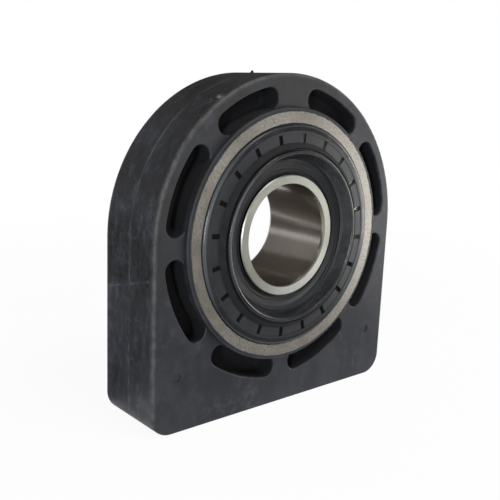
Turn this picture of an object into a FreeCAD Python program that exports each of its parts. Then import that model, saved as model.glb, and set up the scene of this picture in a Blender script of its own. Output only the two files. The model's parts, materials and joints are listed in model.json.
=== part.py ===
"""Driveshaft centre bearing: a sealed ball bearing in a steel ring, moulded into a rubber block.

The origin is on the bearing's axis, half way through it. +Z is up and +Y runs along the shaft,
so the front faces -Y. Sizes are millimetres. The bearing sets the middle of the unit, and the
rubber is built outwards from it.
"""
import FreeCAD, Part
import math
import os
import Sketcher

SIZES = [
    ("bore_diameter", 60.0, "bore of the inner race, for the shaft"),
    ("bearing_diameter", 130.0, "outside of the outer race"),
    ("bearing_width", 31.0, "width of the outer race"),
    ("ball_diameter", 22.225, "diameter of a ball"),
    ("ball_count", 8, "number of balls"),
    ("ball_clearance", 0.1, "gap between a ball and the bottom of a raceway"),
    ("groove_ratio", 0.52, "radius of a raceway over the diameter of a ball"),
    ("raceway_depth", 4.7, "depth of a raceway below its shoulder"),
    ("race_corner", 1.2, "chamfer on the outer race's corners"),
    ("land_wall", 6.2, "wall of the inner race under the seal lips"),
    ("land_corner", 0.6, "chamfer at the outside of the inner race's ends"),
    ("lead_length", 2.0, "length of the lead-in at each end of the bore"),
    ("lead_depth", 1.0, "depth of the lead-in at each end of the bore"),
    ("race_recess", 2.15, "distance from the ring's end back to the inner race's end"),
    ("cage_band", 8.6, "radial width of the cage"),
    ("cage_sheet", 1.6, "thickness of the cage's sheet"),
    ("pocket_gap", 0.3, "gap between a ball and its cage pocket"),
    ("rivet_diameter", 3.2, "shank of a cage rivet"),
    ("rivet_head", 5.6, "diameter of a cage rivet's head"),
    ("head_height", 1.4, "height of a cage rivet's head"),
    ("ring_wall", 8.0, "wall of the steel ring around the outer race"),
    ("ring_shoulder", 5.0, "height of the shoulder behind the outer race"),
    ("ring_chamfer", 0.5, "chamfer on the steel ring's ends"),
    ("clip_thickness", 4.0, "thickness of the retaining ring"),
    ("clip_clearance", 0.1, "slack of the retaining ring in its groove"),
    ("clip_groove", 2.0, "depth of the retaining ring's groove"),
    ("clip_reach", 4.5, "how far the retaining ring stands in from the seat"),
    ("clip_gap", 10.0, "opening between the retaining ring's lugs"),
    ("lug_width", 8.0, "width of one lug"),
    ("lug_length", 5.5, "how far a lug stands in from the retaining ring"),
    ("lug_hole", 3.0, "plier hole in a lug"),
    ("clip_land", 1.0, "wall between the retaining ring's groove and the seal seat"),
    ("seat_step", 0.5, "how much larger the seal seat is than the outer race, on the radius"),
    ("seal_depth", 6.75, "depth of the seal seat in the ring's end"),
    ("seal_stand", 1.35, "how far the seal's face stands out of the ring"),
    ("seal_shoulder", 2.4, "rounding at the outside of the seal's face"),
    ("seal_side", 1.3, "rubber around the seal case"),
    ("seal_skin", 1.7, "rubber in front of the seal case"),
    ("case_wall", 1.2, "sheet of the seal case"),
    ("notch_count", 20, "number of notches in the seal's face"),
    ("notch_width", 2.8, "width of a notch"),
    ("notch_turn", 12.6, "angle of the first notch above the level"),
    ("pad_length", 5.6, "radial length of the pads and notches"),
    ("pad_depth", 0.25, "how far the pads lie below the rim of the seal's face"),
    ("crown_rise", 2.2, "how far the seal's crown stands out from its face"),
    ("bead_radius", 1.3, "radius of the bead on the crown"),
    ("bead_groove", 0.9, "depth of the groove beside the bead"),
    ("wall_run", 2.6, "slope of the wall under the bead, on the radius"),
    ("recess_depth", 4.3, "depth of the seal's inner web behind its face"),
    ("web_width", 7.2, "radial width of the seal's inner web"),
    ("lip_gap", 2.1, "open gap between the seal's web and the inner race"),
    ("lip_clearance", 0.1, "running gap under the seal lips"),
    ("lip_bead", 0.55, "radius of the dust lip's rounded edge"),
    ("spring_wire", 1.7, "thickness of the garter spring"),
    ("collar_wall", 1.8, "rubber collar around the steel ring"),
    ("collar_rise", 2.9, "how far the collar stands off the block's face"),
    ("collar_round", 0.8, "rounding of the collar's rim"),
    ("ring_stand", 3.35, "how far the steel ring stands out of the block"),
    ("slot_count", 8, "number of webs between the slots"),
    ("slot_width", 12.2, "radial width of a slot"),
    ("slot_depth", 15.0, "depth of a slot, from either face"),
    ("slot_edge", 0.8, "rounding of a slot's mouth"),
    ("slot_foot", 2.5, "rounding at the floor of a slot"),
    ("web_thickness", 12.5, "thickness of a web between two slots"),
    ("top_web", 24.0, "thickness of the web at the top"),
    ("rim_wall", 6.5, "rubber between the slots and the arch"),
    ("base_web", 17.5, "rubber between the lowest slots and the base"),
    ("corner_radius", 13.0, "radius of the two bottom corners"),
    ("edge_round", 1.5, "rounding of the block's outer edges"),
    ("pit_diameter", 5.0, "diameter of the two mould pits in the front face"),
    ("pit_depth", 0.4, "depth of a mould pit"),
    ("pit_side", 16.0, "distance of a mould pit from the block's side"),
    ("pit_height", 32.8, "height of a mould pit above the base"),
    ("nib_offset", 12.0, "place of the flash nib beside the top of the arch"),
    ("nib_width", 3.2, "width of the flash nib"),
    ("nib_height", 1.6, "height of the flash nib"),
    ("nib_thickness", 1.4, "thickness of the flash nib"),
]

doc = FreeCAD.newDocument("centre_bearing")
sheet = doc.addObject("Spreadsheet::Sheet", "sizes")
for row, (alias, value, meaning) in enumerate(SIZES, start=1):
    sheet.set(f"A{row}", alias)
    sheet.set(f"B{row}", str(value))
    sheet.set(f"C{row}", meaning)
    sheet.setAlias(f"B{row}", alias)
doc.recompute()

# Radii from the shaft outwards
BORE = "(sizes.bore_diameter / 2)"
SEAT = "(sizes.bearing_diameter / 2)"
BALL = "(sizes.ball_diameter / 2)"
PITCH = f"(({BORE} + {SEAT}) / 2)"
GROOVE = "(sizes.ball_diameter * sizes.groove_ratio)"
LAND = f"({BORE} + sizes.land_wall)"
INNER_RACEWAY = f"({PITCH} - {BALL} - sizes.ball_clearance)"
OUTER_RACEWAY = f"({PITCH} + {BALL} + sizes.ball_clearance)"
SEAL_SEAT = f"({SEAT} + sizes.seat_step)"
RING = f"({SEAT} + sizes.ring_wall)"
COLLAR = f"({RING} + sizes.collar_wall)"
SLOT_OUTER = f"({COLLAR} + sizes.slot_width)"
SLOT_MIDDLE = f"({COLLAR} + sizes.slot_width / 2)"
ARCH = f"({SLOT_OUTER} + sizes.rim_wall)"
AXIS_HEIGHT = f"({SLOT_OUTER} + sizes.base_web)"

# Distances from the middle of the bearing outwards along the shaft
HALF_BEARING = "(sizes.bearing_width / 2)"
CLIP_END = f"({HALF_BEARING} + sizes.clip_thickness + sizes.clip_clearance)"
SEAL_STEP = f"({CLIP_END} + sizes.clip_land)"
RING_END = f"({SEAL_STEP} + sizes.seal_depth)"
RACE_END = f"({RING_END} - sizes.race_recess)"
BLOCK_FACE = f"({RING_END} - sizes.ring_stand)"
SLOT_FLOOR = f"({BLOCK_FACE} - sizes.slot_depth)"
COLLAR_END = f"({BLOCK_FACE} + sizes.collar_rise)"
SEAL_FACE = f"({RING_END} + sizes.seal_stand)"
CROWN = f"({SEAL_FACE} + sizes.crown_rise)"

FRONT = -1
REAR = 1


def size(expression):
    """The number that an expression of the sheet's sizes gives."""
    return float(sheet.evalExpression(expression))


def new_body(label):
    body = doc.addObject("PartDesign::Body", label)
    body.Label = label
    return body


def origin_part(body, role):
    """One of the body's own origin planes or axes, by its role."""
    return next(item for item in body.Origin.OriginFeatures if item.Role == role)


def new_sketch(body, name, plane):
    sketch = body.newObject("Sketcher::SketchObject", name)
    sketch.AttachmentSupport = [(origin_part(body, plane), "")]
    sketch.MapMode = "FlatFace"
    return sketch


def bind(sketch, kind, geometry, point, expression):
    """Hold one coordinate or radius of the sketch to an expression."""
    if kind == "Radius":
        index = sketch.addConstraint(Sketcher.Constraint(kind, geometry, size(expression)))
    else:
        index = sketch.addConstraint(Sketcher.Constraint(kind, geometry, point, size(expression)))
    sketch.setExpression(f"Constraints[{index}]", expression)


def outline_sketch(body, name, plane, corners):
    """A closed outline of straight sides. Each corner is a pair of expressions."""
    sketch = new_sketch(body, name, plane)
    places = [FreeCAD.Vector(size(across), size(along), 0) for across, along in corners]
    for index, place in enumerate(places):
        following = places[(index + 1) % len(places)]
        sketch.addGeometry(Part.LineSegment(place, following))
    for index, (across, along) in enumerate(corners):
        following = (index + 1) % len(corners)
        sketch.addConstraint(Sketcher.Constraint("Coincident", index, 2, following, 1))
        bind(sketch, "DistanceX", index, 1, across)
        bind(sketch, "DistanceY", index, 1, along)
    return sketch


def circle_sketch(body, name, plane, circles):
    """Whole circles, each given as expressions for its centre and radius."""
    sketch = new_sketch(body, name, plane)
    for index, (across, along, radius) in enumerate(circles):
        centre = FreeCAD.Vector(size(across), size(along), 0)
        sketch.addGeometry(Part.Circle(centre, FreeCAD.Vector(0, 0, 1), size(radius)))
        bind(sketch, "DistanceX", index, 3, across)
        bind(sketch, "DistanceY", index, 3, along)
        bind(sketch, "Radius", index, 0, radius)
    return sketch


def extrude(body, kind, name, sketch, length=None, symmetric=False, reverse=False):
    """A Pad or Pocket. A pocket with no length goes right through, both ways."""
    feature = body.newObject(f"PartDesign::{kind}", name)
    feature.Profile = sketch
    if length is None:
        feature.Type = "ThroughAll"
        feature.SideType = "Symmetric"
    else:
        feature.setExpression("Length", length)
        feature.SideType = "Symmetric" if symmetric else "One side"
    feature.Reversed = reverse
    return feature


def turn(body, kind, name, sketch):
    """A Revolution or Groove of the sketch, right round the bearing's axis."""
    feature = body.newObject(f"PartDesign::{kind}", name)
    feature.Profile = sketch
    feature.ReferenceAxis = (sketch, ["V_Axis"])
    feature.Angle = 360
    return feature


def pattern_round(body, name, originals, count, angle="360"):
    """Copies of the features round the bearing's axis."""
    feature = body.newObject("PartDesign::PolarPattern", name)
    feature.Originals = originals
    feature.Axis = (origin_part(body, "Y_Axis"), [""])
    feature.setExpression("Angle", angle)
    feature.setExpression("Occurrences", count)
    body.Tip = feature
    return feature


def edge_names(shape, wanted):
    """Names of the edges that a test picks."""
    return [f"Edge{number}" for number, edge in enumerate(shape.Edges, start=1) if wanted(edge)]


def dress_edges(body, kind, name, wanted, amount):
    """A Fillet or Chamfer on the picked edges of the body's tip."""
    doc.recompute()
    base = body.Tip
    feature = body.newObject(f"PartDesign::{kind}", name)
    feature.Base = (base, edge_names(base.Shape, wanted))
    feature.setExpression("Radius" if kind == "Fillet" else "Size", amount)
    return feature


def lies_at(edge, distance):
    """True where the whole edge lies that far along the shaft, at either end."""
    box = edge.BoundBox
    return box.YLength < 1e-4 and abs(abs(box.YMin) - size(distance)) < 1e-3


def is_circle(edge, radius):
    """True for an arc or circle of that radius round the bearing's axis."""
    curve = edge.Curve
    if not isinstance(curve, Part.Circle) or abs(curve.Radius - size(radius)) > 1e-3:
        return False
    return math.hypot(curve.Center.x, curve.Center.z) < 1e-3


def block_outline(body):
    """The block's front view: an arch on straight sides, with two rounded bottom corners."""
    sketch = new_sketch(body, "block_outline", "XZ_Plane")
    arch = size(ARCH)
    base = -size(AXIS_HEIGHT)
    corner = size("sizes.corner_radius")
    upward = FreeCAD.Vector(0, 0, 1)
    side = arch - corner
    rise = base + corner
    sketch.addGeometry(Part.ArcOfCircle(Part.Circle(FreeCAD.Vector(0, 0, 0), upward, arch), 0, math.pi))
    sketch.addGeometry(Part.LineSegment(FreeCAD.Vector(-arch, 0, 0), FreeCAD.Vector(-arch, rise, 0)))
    left = Part.Circle(FreeCAD.Vector(-side, rise, 0), upward, corner)
    sketch.addGeometry(Part.ArcOfCircle(left, math.pi, 1.5 * math.pi))
    sketch.addGeometry(Part.LineSegment(FreeCAD.Vector(-side, base, 0), FreeCAD.Vector(side, base, 0)))
    right = Part.Circle(FreeCAD.Vector(side, rise, 0), upward, corner)
    sketch.addGeometry(Part.ArcOfCircle(right, 1.5 * math.pi, 2 * math.pi))
    sketch.addGeometry(Part.LineSegment(FreeCAD.Vector(arch, rise, 0), FreeCAD.Vector(arch, 0, 0)))
    joins = [(0, 2, 1, 1), (1, 2, 2, 1), (2, 2, 3, 1), (3, 2, 4, 1), (4, 2, 5, 1), (5, 2, 0, 1)]
    for first, end, second, start in joins:
        sketch.addConstraint(Sketcher.Constraint("Tangent", first, end, second, start))
    sketch.addConstraint(Sketcher.Constraint("Coincident", 0, 3, -1, 1))
    sketch.addConstraint(Sketcher.Constraint("Horizontal", 3))
    sketch.addConstraint(Sketcher.Constraint("Vertical", 1))
    bind(sketch, "Radius", 0, 0, ARCH)
    bind(sketch, "Radius", 2, 0, "sizes.corner_radius")
    bind(sketch, "Radius", 4, 0, "sizes.corner_radius")
    bind(sketch, "DistanceY", 3, 1, f"-{AXIS_HEIGHT}")
    return sketch


def slot_sketch(body, name, start, end, coordinate):
    """A curved slot with round ends. start and end are the angles of its end centres, clockwise
    from the top, and coordinate says which way those centres are measured."""
    sketch = new_sketch(body, name, "XZ_Plane")
    upward = FreeCAD.Vector(0, 0, 1)
    outer = size(SLOT_OUTER)
    inner = size(SLOT_ROOT)
    middle = (outer + inner) / 2
    round_end = (outer - inner) / 2
    first = math.pi / 2 - math.radians(size(end))
    last = math.pi / 2 - math.radians(size(start))
    for radius in (outer, inner):
        circle = Part.Circle(FreeCAD.Vector(0, 0, 0), upward, radius)
        sketch.addGeometry(Part.ArcOfCircle(circle, first, last))
    for angle, sweep in ((first, -math.pi), (last, 0)):
        centre = FreeCAD.Vector(middle * math.cos(angle), middle * math.sin(angle), 0)
        circle = Part.Circle(centre, upward, round_end)
        sketch.addGeometry(Part.ArcOfCircle(circle, angle + sweep, angle + sweep + math.pi))
    for arc in (0, 1):
        sketch.addConstraint(Sketcher.Constraint("Coincident", arc, 3, -1, 1))
    joins = [(0, 1, 2, 2), (1, 1, 2, 1), (0, 2, 3, 1), (1, 2, 3, 2)]
    for arc, arc_end, cap, cap_end in joins:
        sketch.addConstraint(Sketcher.Constraint("Tangent", arc, arc_end, cap, cap_end))
    bind(sketch, "Radius", 0, 0, SLOT_OUTER)
    bind(sketch, "Radius", 1, 0, SLOT_ROOT)
    turned = "sin" if coordinate == "DistanceX" else "cos"
    cap_middle = f"(({SLOT_OUTER} + {SLOT_ROOT}) / 2)"
    bind(sketch, coordinate, 2, 3, f"{cap_middle} * {turned}({end})")
    bind(sketch, coordinate, 3, 3, f"{cap_middle} * {turned}({start})")
    return sketch


# The slots are cut a little under the collar, which then covers their inner wall
SLOT_ROOT = f"({COLLAR} - sizes.collar_wall / 4)"
WEB_ANGLE = f"((sizes.web_thickness + sizes.slot_width) / 2 / {SLOT_MIDDLE} * 180 / pi)"
TOP_ANGLE = f"((sizes.top_web + sizes.slot_width) / 2 / {SLOT_MIDDLE} * 180 / pi)"
SLOT_STEP = "(360 / sizes.slot_count)"


def make_block():
    """The rubber block: arch and base, a ring of slots in each face, and the collar that holds
    the steel ring. A web of rubber is left between the slots of the two faces."""
    body = new_body("rubber_block")
    extrude(body, "Pad", "block", block_outline(body), f"2 * {BLOCK_FACE}", symmetric=True)
    dress_edges(body, "Fillet", "soft_edges", lambda edge: lies_at(edge, BLOCK_FACE), "sizes.edge_round")

    top = slot_sketch(body, "top_slot_outline", TOP_ANGLE, f"{SLOT_STEP} - {WEB_ANGLE}", "DistanceX")
    top_slot = extrude(body, "Pocket", "top_slot", top)
    mirror = body.newObject("PartDesign::Mirrored", "top_slots")
    mirror.Originals = [top_slot]
    mirror.MirrorPlane = (origin_part(body, "YZ_Plane"), [""])
    body.Tip = mirror
    side_start = f"{SLOT_STEP} + {WEB_ANGLE}"
    side_end = f"2 * {SLOT_STEP} - {WEB_ANGLE}"
    side = slot_sketch(body, "side_slot_outline", side_start, side_end, "DistanceY")
    side_slot = extrude(body, "Pocket", "side_slot", side)
    pattern_round(body, "side_slots", [side_slot], "sizes.slot_count - 2", f"360 - 3 * {SLOT_STEP}")

    def slot_mouth(edge):
        reach = max(math.hypot(vertex.X, vertex.Z) for vertex in edge.Vertexes)
        return lies_at(edge, BLOCK_FACE) and reach < size(SLOT_OUTER) + 0.01

    dress_edges(body, "Fillet", "slot_mouths", slot_mouth, "sizes.slot_edge")
    inner_web = circle_sketch(body, "web_outline", "XZ_Plane", [("0", "0", f"({SLOT_OUTER} + {ARCH}) / 2")])
    extrude(body, "Pad", "inner_web", inner_web, f"2 * {SLOT_FLOOR}", symmetric=True)

    def slot_foot(edge):
        return lies_at(edge, SLOT_FLOOR)

    dress_edges(body, "Fillet", "slot_feet", slot_foot, "sizes.slot_foot")
    collar = circle_sketch(body, "collar_outline", "XZ_Plane", [("0", "0", COLLAR)])
    extrude(body, "Pad", "collar", collar, f"2 * {COLLAR_END}", symmetric=True)
    dress_edges(
        body, "Fillet", "collar_rim", lambda edge: lies_at(edge, COLLAR_END), "sizes.collar_round"
    )
    bore = circle_sketch(body, "ring_outline", "XZ_Plane", [("0", "0", RING)])
    extrude(body, "Pocket", "ring_bore", bore)

    foot = f"(sqrt({ARCH}^2 - sizes.nib_offset^2) - sizes.nib_height / 2)"
    tip = f"(sqrt({ARCH}^2 - sizes.nib_offset^2) + sizes.nib_height)"
    nib = outline_sketch(
        body,
        "nib_outline",
        "XZ_Plane",
        [
            ("-sizes.nib_offset - sizes.nib_width / 2", foot),
            ("-sizes.nib_offset + sizes.nib_width / 2", foot),
            ("-sizes.nib_offset + sizes.nib_width / 8", tip),
        ],
    )
    extrude(body, "Pad", "flash_nib", nib, "sizes.nib_thickness", symmetric=True)

    across = f"({ARCH} - sizes.pit_side)"
    upward = f"(sizes.pit_height - {AXIS_HEIGHT})"
    pits = [(f"-{across}", upward, "sizes.pit_diameter / 2"), (across, upward, "sizes.pit_diameter / 2")]
    pit_outline = circle_sketch(body, "pit_outline", "XZ_Plane", pits)
    pit_outline.setExpression("AttachmentOffset.Base.z", BLOCK_FACE)
    extrude(body, "Pocket", "mould_pits", pit_outline, "sizes.pit_depth")
    return body


def make_housing_ring():
    """The steel ring: a bore for the bearing, a shoulder behind it, a groove in front of it for
    the retaining ring, and a seat for a seal in each end."""
    body = new_body("housing_ring")
    shoulder = f"({SEAT} - sizes.ring_shoulder)"
    clip = f"({SEAT} + sizes.clip_groove)"
    corners = [
        (RING, f"-{RING_END}"),
        (RING, RING_END),
        (SEAL_SEAT, RING_END),
        (SEAL_SEAT, SEAL_STEP),
        (shoulder, SEAL_STEP),
        (shoulder, HALF_BEARING),
        (SEAT, HALF_BEARING),
        (SEAT, f"-{HALF_BEARING}"),
        (clip, f"-{HALF_BEARING}"),
        (clip, f"-{CLIP_END}"),
        (SEAT, f"-{CLIP_END}"),
        (SEAT, f"-{SEAL_STEP}"),
        (SEAL_SEAT, f"-{SEAL_STEP}"),
        (SEAL_SEAT, f"-{RING_END}"),
    ]
    turn(body, "Revolution", "turned_ring", outline_sketch(body, "ring_section", "XY_Plane", corners))
    dress_edges(body, "Chamfer", "ring_ends", lambda edge: lies_at(edge, RING_END), "sizes.ring_chamfer")
    return body


def make_outer_race():
    body = new_body("outer_race")
    shoulder = f"({OUTER_RACEWAY} - sizes.raceway_depth)"
    corners = [
        (SEAT, f"-{HALF_BEARING}"),
        (SEAT, HALF_BEARING),
        (shoulder, HALF_BEARING),
        (shoulder, f"-{HALF_BEARING}"),
    ]
    turn(body, "Revolution", "turned_race", outline_sketch(body, "race_section", "XY_Plane", corners))
    raceway = [(f"{OUTER_RACEWAY} - {GROOVE}", "0", GROOVE)]
    turn(body, "Groove", "raceway", circle_sketch(body, "raceway_section", "XY_Plane", raceway))
    dress_edges(
        body,
        "Chamfer",
        "race_corners",
        lambda edge: lies_at(edge, HALF_BEARING) and is_circle(edge, SEAT),
        "sizes.race_corner",
    )
    return body


def make_inner_race():
    """The inner race is wider than the bearing: its ends carry the seal lips."""
    body = new_body("inner_race")
    shoulder = f"({INNER_RACEWAY} + sizes.raceway_depth)"
    mouth = f"({BORE} + sizes.lead_depth)"
    lead = f"({RACE_END} - sizes.lead_length)"
    land_end = f"({RACE_END} - sizes.land_corner)"
    half = [
        (BORE, lead),
        (mouth, RACE_END),
        (f"({LAND} - sizes.land_corner)", RACE_END),
        (LAND, land_end),
        (LAND, HALF_BEARING),
        (shoulder, HALF_BEARING),
    ]
    corners = half + [(radius, f"-{along}") for radius, along in reversed(half)]
    turn(body, "Revolution", "turned_race", outline_sketch(body, "race_section", "XY_Plane", corners))
    raceway = [(f"{INNER_RACEWAY} + {GROOVE}", "0", GROOVE)]
    turn(body, "Groove", "raceway", circle_sketch(body, "raceway_section", "XY_Plane", raceway))
    return body


def make_balls():
    """One ball in each cage pocket, half way between two rivets."""
    count = int(size("sizes.ball_count"))
    balls = []
    for index in range(count):
        ball = doc.addObject("Part::Sphere", f"ball_{index + 1}")
        ball.Label = f"ball_{index + 1}"
        ball.setExpression("Radius", BALL)
        angle = f"((0.5 + {index}) * 360 / sizes.ball_count)"
        ball.setExpression("Placement.Base.x", f"{PITCH} * cos({angle})")
        ball.setExpression("Placement.Base.z", f"{PITCH} * sin({angle})")
        balls.append(ball)
    return balls


def ball_shape(body, kind, name, radius):
    """A sphere round the first ball's place, added or cut."""
    sphere = body.newObject(f"PartDesign::{kind}Sphere", name)
    sphere.setExpression("Radius", radius)
    sphere.setExpression("Placement.Base.x", f"{PITCH} * cos(180 / sizes.ball_count)")
    sphere.setExpression("Placement.Base.z", f"{PITCH} * sin(180 / sizes.ball_count)")
    return sphere


def make_cage_half(label, side):
    """One half of the pressed cage: flat tabs, with a domed pocket over each ball."""
    body = new_body(label)
    inner = f"({PITCH} - sizes.cage_band / 2)"
    outer = f"({PITCH} + sizes.cage_band / 2)"
    ring = circle_sketch(body, "band_outline", "XZ_Plane", [("0", "0", outer), ("0", "0", inner)])
    extrude(body, "Pad", "band", ring, "sizes.cage_sheet", reverse=(side == REAR))

    pocket = f"({BALL} + sizes.pocket_gap)"
    dome = ball_shape(body, "Additive", "dome", f"{pocket} + sizes.cage_sheet")
    pattern_round(body, "domes", [dome], "sizes.ball_count")
    hollow = ball_shape(body, "Subtractive", "hollow", pocket)
    pattern_round(body, "hollows", [hollow], "sizes.ball_count")

    beyond = f"({side} * sizes.ball_diameter)"
    behind = f"({-side} * sizes.ball_diameter)"
    around = [
        (outer, beyond),
        (f"{outer} + sizes.ball_diameter", beyond),
        (f"{outer} + sizes.ball_diameter", behind),
        (f"{BORE} / 2", behind),
        (f"{BORE} / 2", beyond),
        (inner, beyond),
        (inner, "0"),
        (outer, "0"),
    ]
    turn(body, "Groove", "band_trim", outline_sketch(body, "trim_section", "XY_Plane", around))

    hole = circle_sketch(body, "rivet_outline", "XZ_Plane", [(PITCH, "0", "sizes.rivet_diameter / 2")])
    rivet_hole = extrude(body, "Pocket", "rivet_hole", hole)
    pattern_round(body, "rivet_holes", [rivet_hole], "sizes.ball_count")
    return body


def make_cage_rivets():
    """The rivets through the cage's tabs, each with a head at both ends."""
    body = new_body("cage_rivets")
    shank = "(sizes.rivet_diameter / 2)"
    head = "(sizes.rivet_head / 2)"
    crown = "(sizes.rivet_head / 3)"
    rim = "(sizes.cage_sheet + sizes.head_height / 3)"
    top = "(sizes.cage_sheet + sizes.head_height)"
    half = [(shank, "sizes.cage_sheet"), (head, "sizes.cage_sheet"), (head, rim), (crown, top), ("0", top)]
    section = half + [(radius, f"-{along}") for radius, along in reversed(half)]
    corners = [(f"{PITCH} + {radius}", along) for radius, along in section]
    sketch = outline_sketch(body, "rivet_section", "XY_Plane", corners)
    rivet = body.newObject("PartDesign::Revolution", "rivet")
    rivet.Profile = sketch
    rivet.ReferenceAxis = (sketch, [f"Edge{len(half)}"])
    rivet.Angle = 360
    pattern_round(body, "rivets", [rivet], "sizes.ball_count")
    return body


def make_retaining_ring():
    """The open spring ring in front of the outer race, with a lug at each side of its gap."""
    body = new_body("retaining_ring")
    outer = f"({SEAT} + sizes.clip_groove - sizes.clip_clearance)"
    inner = f"({SEAT} - sizes.clip_reach)"
    circles = [("0", "0", outer), ("0", "0", inner)]

    def place(sketch):
        sketch.setExpression("AttachmentOffset.Base.z", HALF_BEARING)
        return sketch

    ring = place(circle_sketch(body, "ring_outline", "XZ_Plane", circles))
    extrude(body, "Pad", "ring", ring, "sizes.clip_thickness")
    half_gap = "(sizes.clip_gap / 2)"
    reach = f"({half_gap} + sizes.lug_width)"
    lug_root = f"-({inner} + sizes.clip_reach / 2)"
    lug_tip = f"-({inner} - sizes.lug_length)"
    lugs = [(f"-{reach}", lug_root), (reach, lug_root), (reach, lug_tip), (f"-{reach}", lug_tip)]
    lug_outline = place(outline_sketch(body, "lug_outline", "XZ_Plane", lugs))
    extrude(body, "Pad", "lugs", lug_outline, "sizes.clip_thickness")
    below = f"-({outer} + sizes.clip_reach)"
    above = f"-({inner} - 2 * sizes.lug_length)"
    gap = [(f"-{half_gap}", below), (half_gap, below), (half_gap, above), (f"-{half_gap}", above)]
    extrude(body, "Pocket", "gap", place(outline_sketch(body, "gap_outline", "XZ_Plane", gap)))
    hole_place = f"({half_gap} + sizes.lug_width / 2)"
    hole_height = f"-({inner} - sizes.lug_length / 2)"
    holes = [
        (f"-{hole_place}", hole_height, "sizes.lug_hole / 2"),
        (hole_place, hole_height, "sizes.lug_hole / 2"),
    ]
    extrude(body, "Pocket", "lug_holes", place(circle_sketch(body, "hole_outline", "XZ_Plane", holes)))
    return body


# Radii of the seal, from its lips outwards
LIP = f"({LAND} + sizes.lip_gap)"
LIP_EDGE = f"({LAND} + sizes.lip_clearance)"
WEB = f"({LIP} + sizes.web_width)"
WALL_TOP = f"({WEB} + sizes.wall_run)"
BEAD = f"({WALL_TOP} + sizes.bead_radius)"
BEAD_SIDE = f"({BEAD} + sizes.bead_radius)"
PAD_MIDDLE = f"(({BEAD} + {SEAL_SEAT}) / 2)"
PAD_INNER = f"({PAD_MIDDLE} - sizes.pad_length / 2)"
PAD_OUTER = f"({PAD_MIDDLE} + sizes.pad_length / 2)"
CASE_LEG = f"({SEAL_SEAT} - sizes.seal_side)"
DUST_LIP = f"({LIP_EDGE} + sizes.lip_bead)"
CASE_INNER = f"({LIP} + sizes.web_width / 3)"

# Places of the seal's parts along the shaft
WEB_FACE = f"({SEAL_FACE} - sizes.recess_depth)"
LIP_FACE = f"({WEB_FACE} - 0.6 * sizes.bead_radius)"
DUST_FACE = f"({LIP_FACE} - 1.6 * sizes.lip_bead)"
CASE_FACE = f"({SEAL_FACE} - sizes.seal_skin)"
CASE_WEB = f"({WEB_FACE} - sizes.case_wall)"
SPRING_PLACE = f"({CASE_WEB} - 3 * sizes.spring_wire)"
SPRING_RADIUS = f"({LIP_EDGE} + 1.8 * sizes.spring_wire)"


def on_side(side, corners):
    """The section's corners, turned to the front or the rear."""
    return [(radius, f"({side}) * {along}") for radius, along in corners]


def case_section():
    """The pressed case: a leg in the ring, a flat face, a slope and an inner flange."""
    bend = f"({BEAD} + sizes.case_wall / 2)"
    foot = f"({WEB} + sizes.case_wall)"
    back = "sizes.case_wall"
    inside = "(sizes.case_wall / 2.4)"
    return [
        (CASE_LEG, SEAL_STEP),
        (CASE_LEG, CASE_FACE),
        (bend, CASE_FACE),
        (foot, CASE_WEB),
        (CASE_INNER, CASE_WEB),
        (CASE_INNER, f"({CASE_WEB} - {back})"),
        (f"({foot} + {inside})", f"({CASE_WEB} - {back})"),
        (f"({bend} + {inside})", f"({CASE_FACE} - {back})"),
        (f"({CASE_LEG} - {back})", f"({CASE_FACE} - {back})"),
        (f"({CASE_LEG} - {back})", SEAL_STEP),
    ]


def rubber_section():
    """The moulded rubber: its rim, pads, crown and web in front, and the two lips on the race."""
    half_wall = "(sizes.case_wall / 2)"
    groove = "sizes.bead_groove"
    wire = "sizes.spring_wire"
    face = [
        (SEAL_SEAT, SEAL_STEP),
        (SEAL_SEAT, SEAL_FACE),
        (PAD_OUTER, SEAL_FACE),
        (PAD_OUTER, f"({SEAL_FACE} - sizes.pad_depth)"),
        (PAD_INNER, f"({SEAL_FACE} - sizes.pad_depth)"),
        (f"({BEAD_SIDE} + 1.4 * {groove})", CROWN),
        (f"({BEAD_SIDE} + 0.7 * {groove})", f"({CROWN} - {groove})"),
        (f"({BEAD_SIDE} - 0.3 * {groove})", f"({CROWN} - {groove})"),
        (f"({BEAD_SIDE} - 0.3 * {groove})", CROWN),
        (WALL_TOP, CROWN),
        (WEB, WEB_FACE),
        (LIP, LIP_FACE),
    ]
    dust_lip = [
        (LIP, DUST_FACE),
        (DUST_LIP, DUST_FACE),
        (DUST_LIP, f"({DUST_FACE} - 0.6 * sizes.lip_bead)"),
        (f"({LIP} - 0.3 * {wire})", f"({LIP_FACE} - 1.4 * {wire})"),
    ]
    main_lip = [
        (f"({LIP} - 0.3 * {wire})", f"({SPRING_PLACE} + 1.2 * {wire})"),
        (LIP_EDGE, f"({SPRING_PLACE} + 0.3 * {wire})"),
        (LIP_EDGE, SPRING_PLACE),
        (f"({LIP_EDGE} + 0.5 * {wire})", f"({SPRING_PLACE} - 0.6 * {wire})"),
        (SPRING_RADIUS, f"({SPRING_PLACE} - 0.6 * {wire})"),
        (SPRING_RADIUS, f"({SPRING_PLACE} + 0.6 * {wire})"),
    ]
    back = [
        (f"({CASE_INNER} - 0.5 * {wire})", f"({CASE_WEB} - sizes.case_wall - 0.8 * {wire})"),
        (f"({CASE_INNER} + {wire})", f"({CASE_WEB} - sizes.case_wall - 0.8 * {wire})"),
        (f"({CASE_INNER} + {wire})", f"({CASE_WEB} - {half_wall})"),
        (f"({WEB} + 1.2 * sizes.case_wall)", f"({CASE_WEB} - {half_wall})"),
        (f"({BEAD} + 0.7 * sizes.case_wall)", f"({CASE_FACE} - {half_wall})"),
        (f"({CASE_LEG} - {half_wall})", f"({CASE_FACE} - {half_wall})"),
        (f"({CASE_LEG} - {half_wall})", SEAL_STEP),
    ]
    return face + dust_lip + main_lip + back


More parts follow.
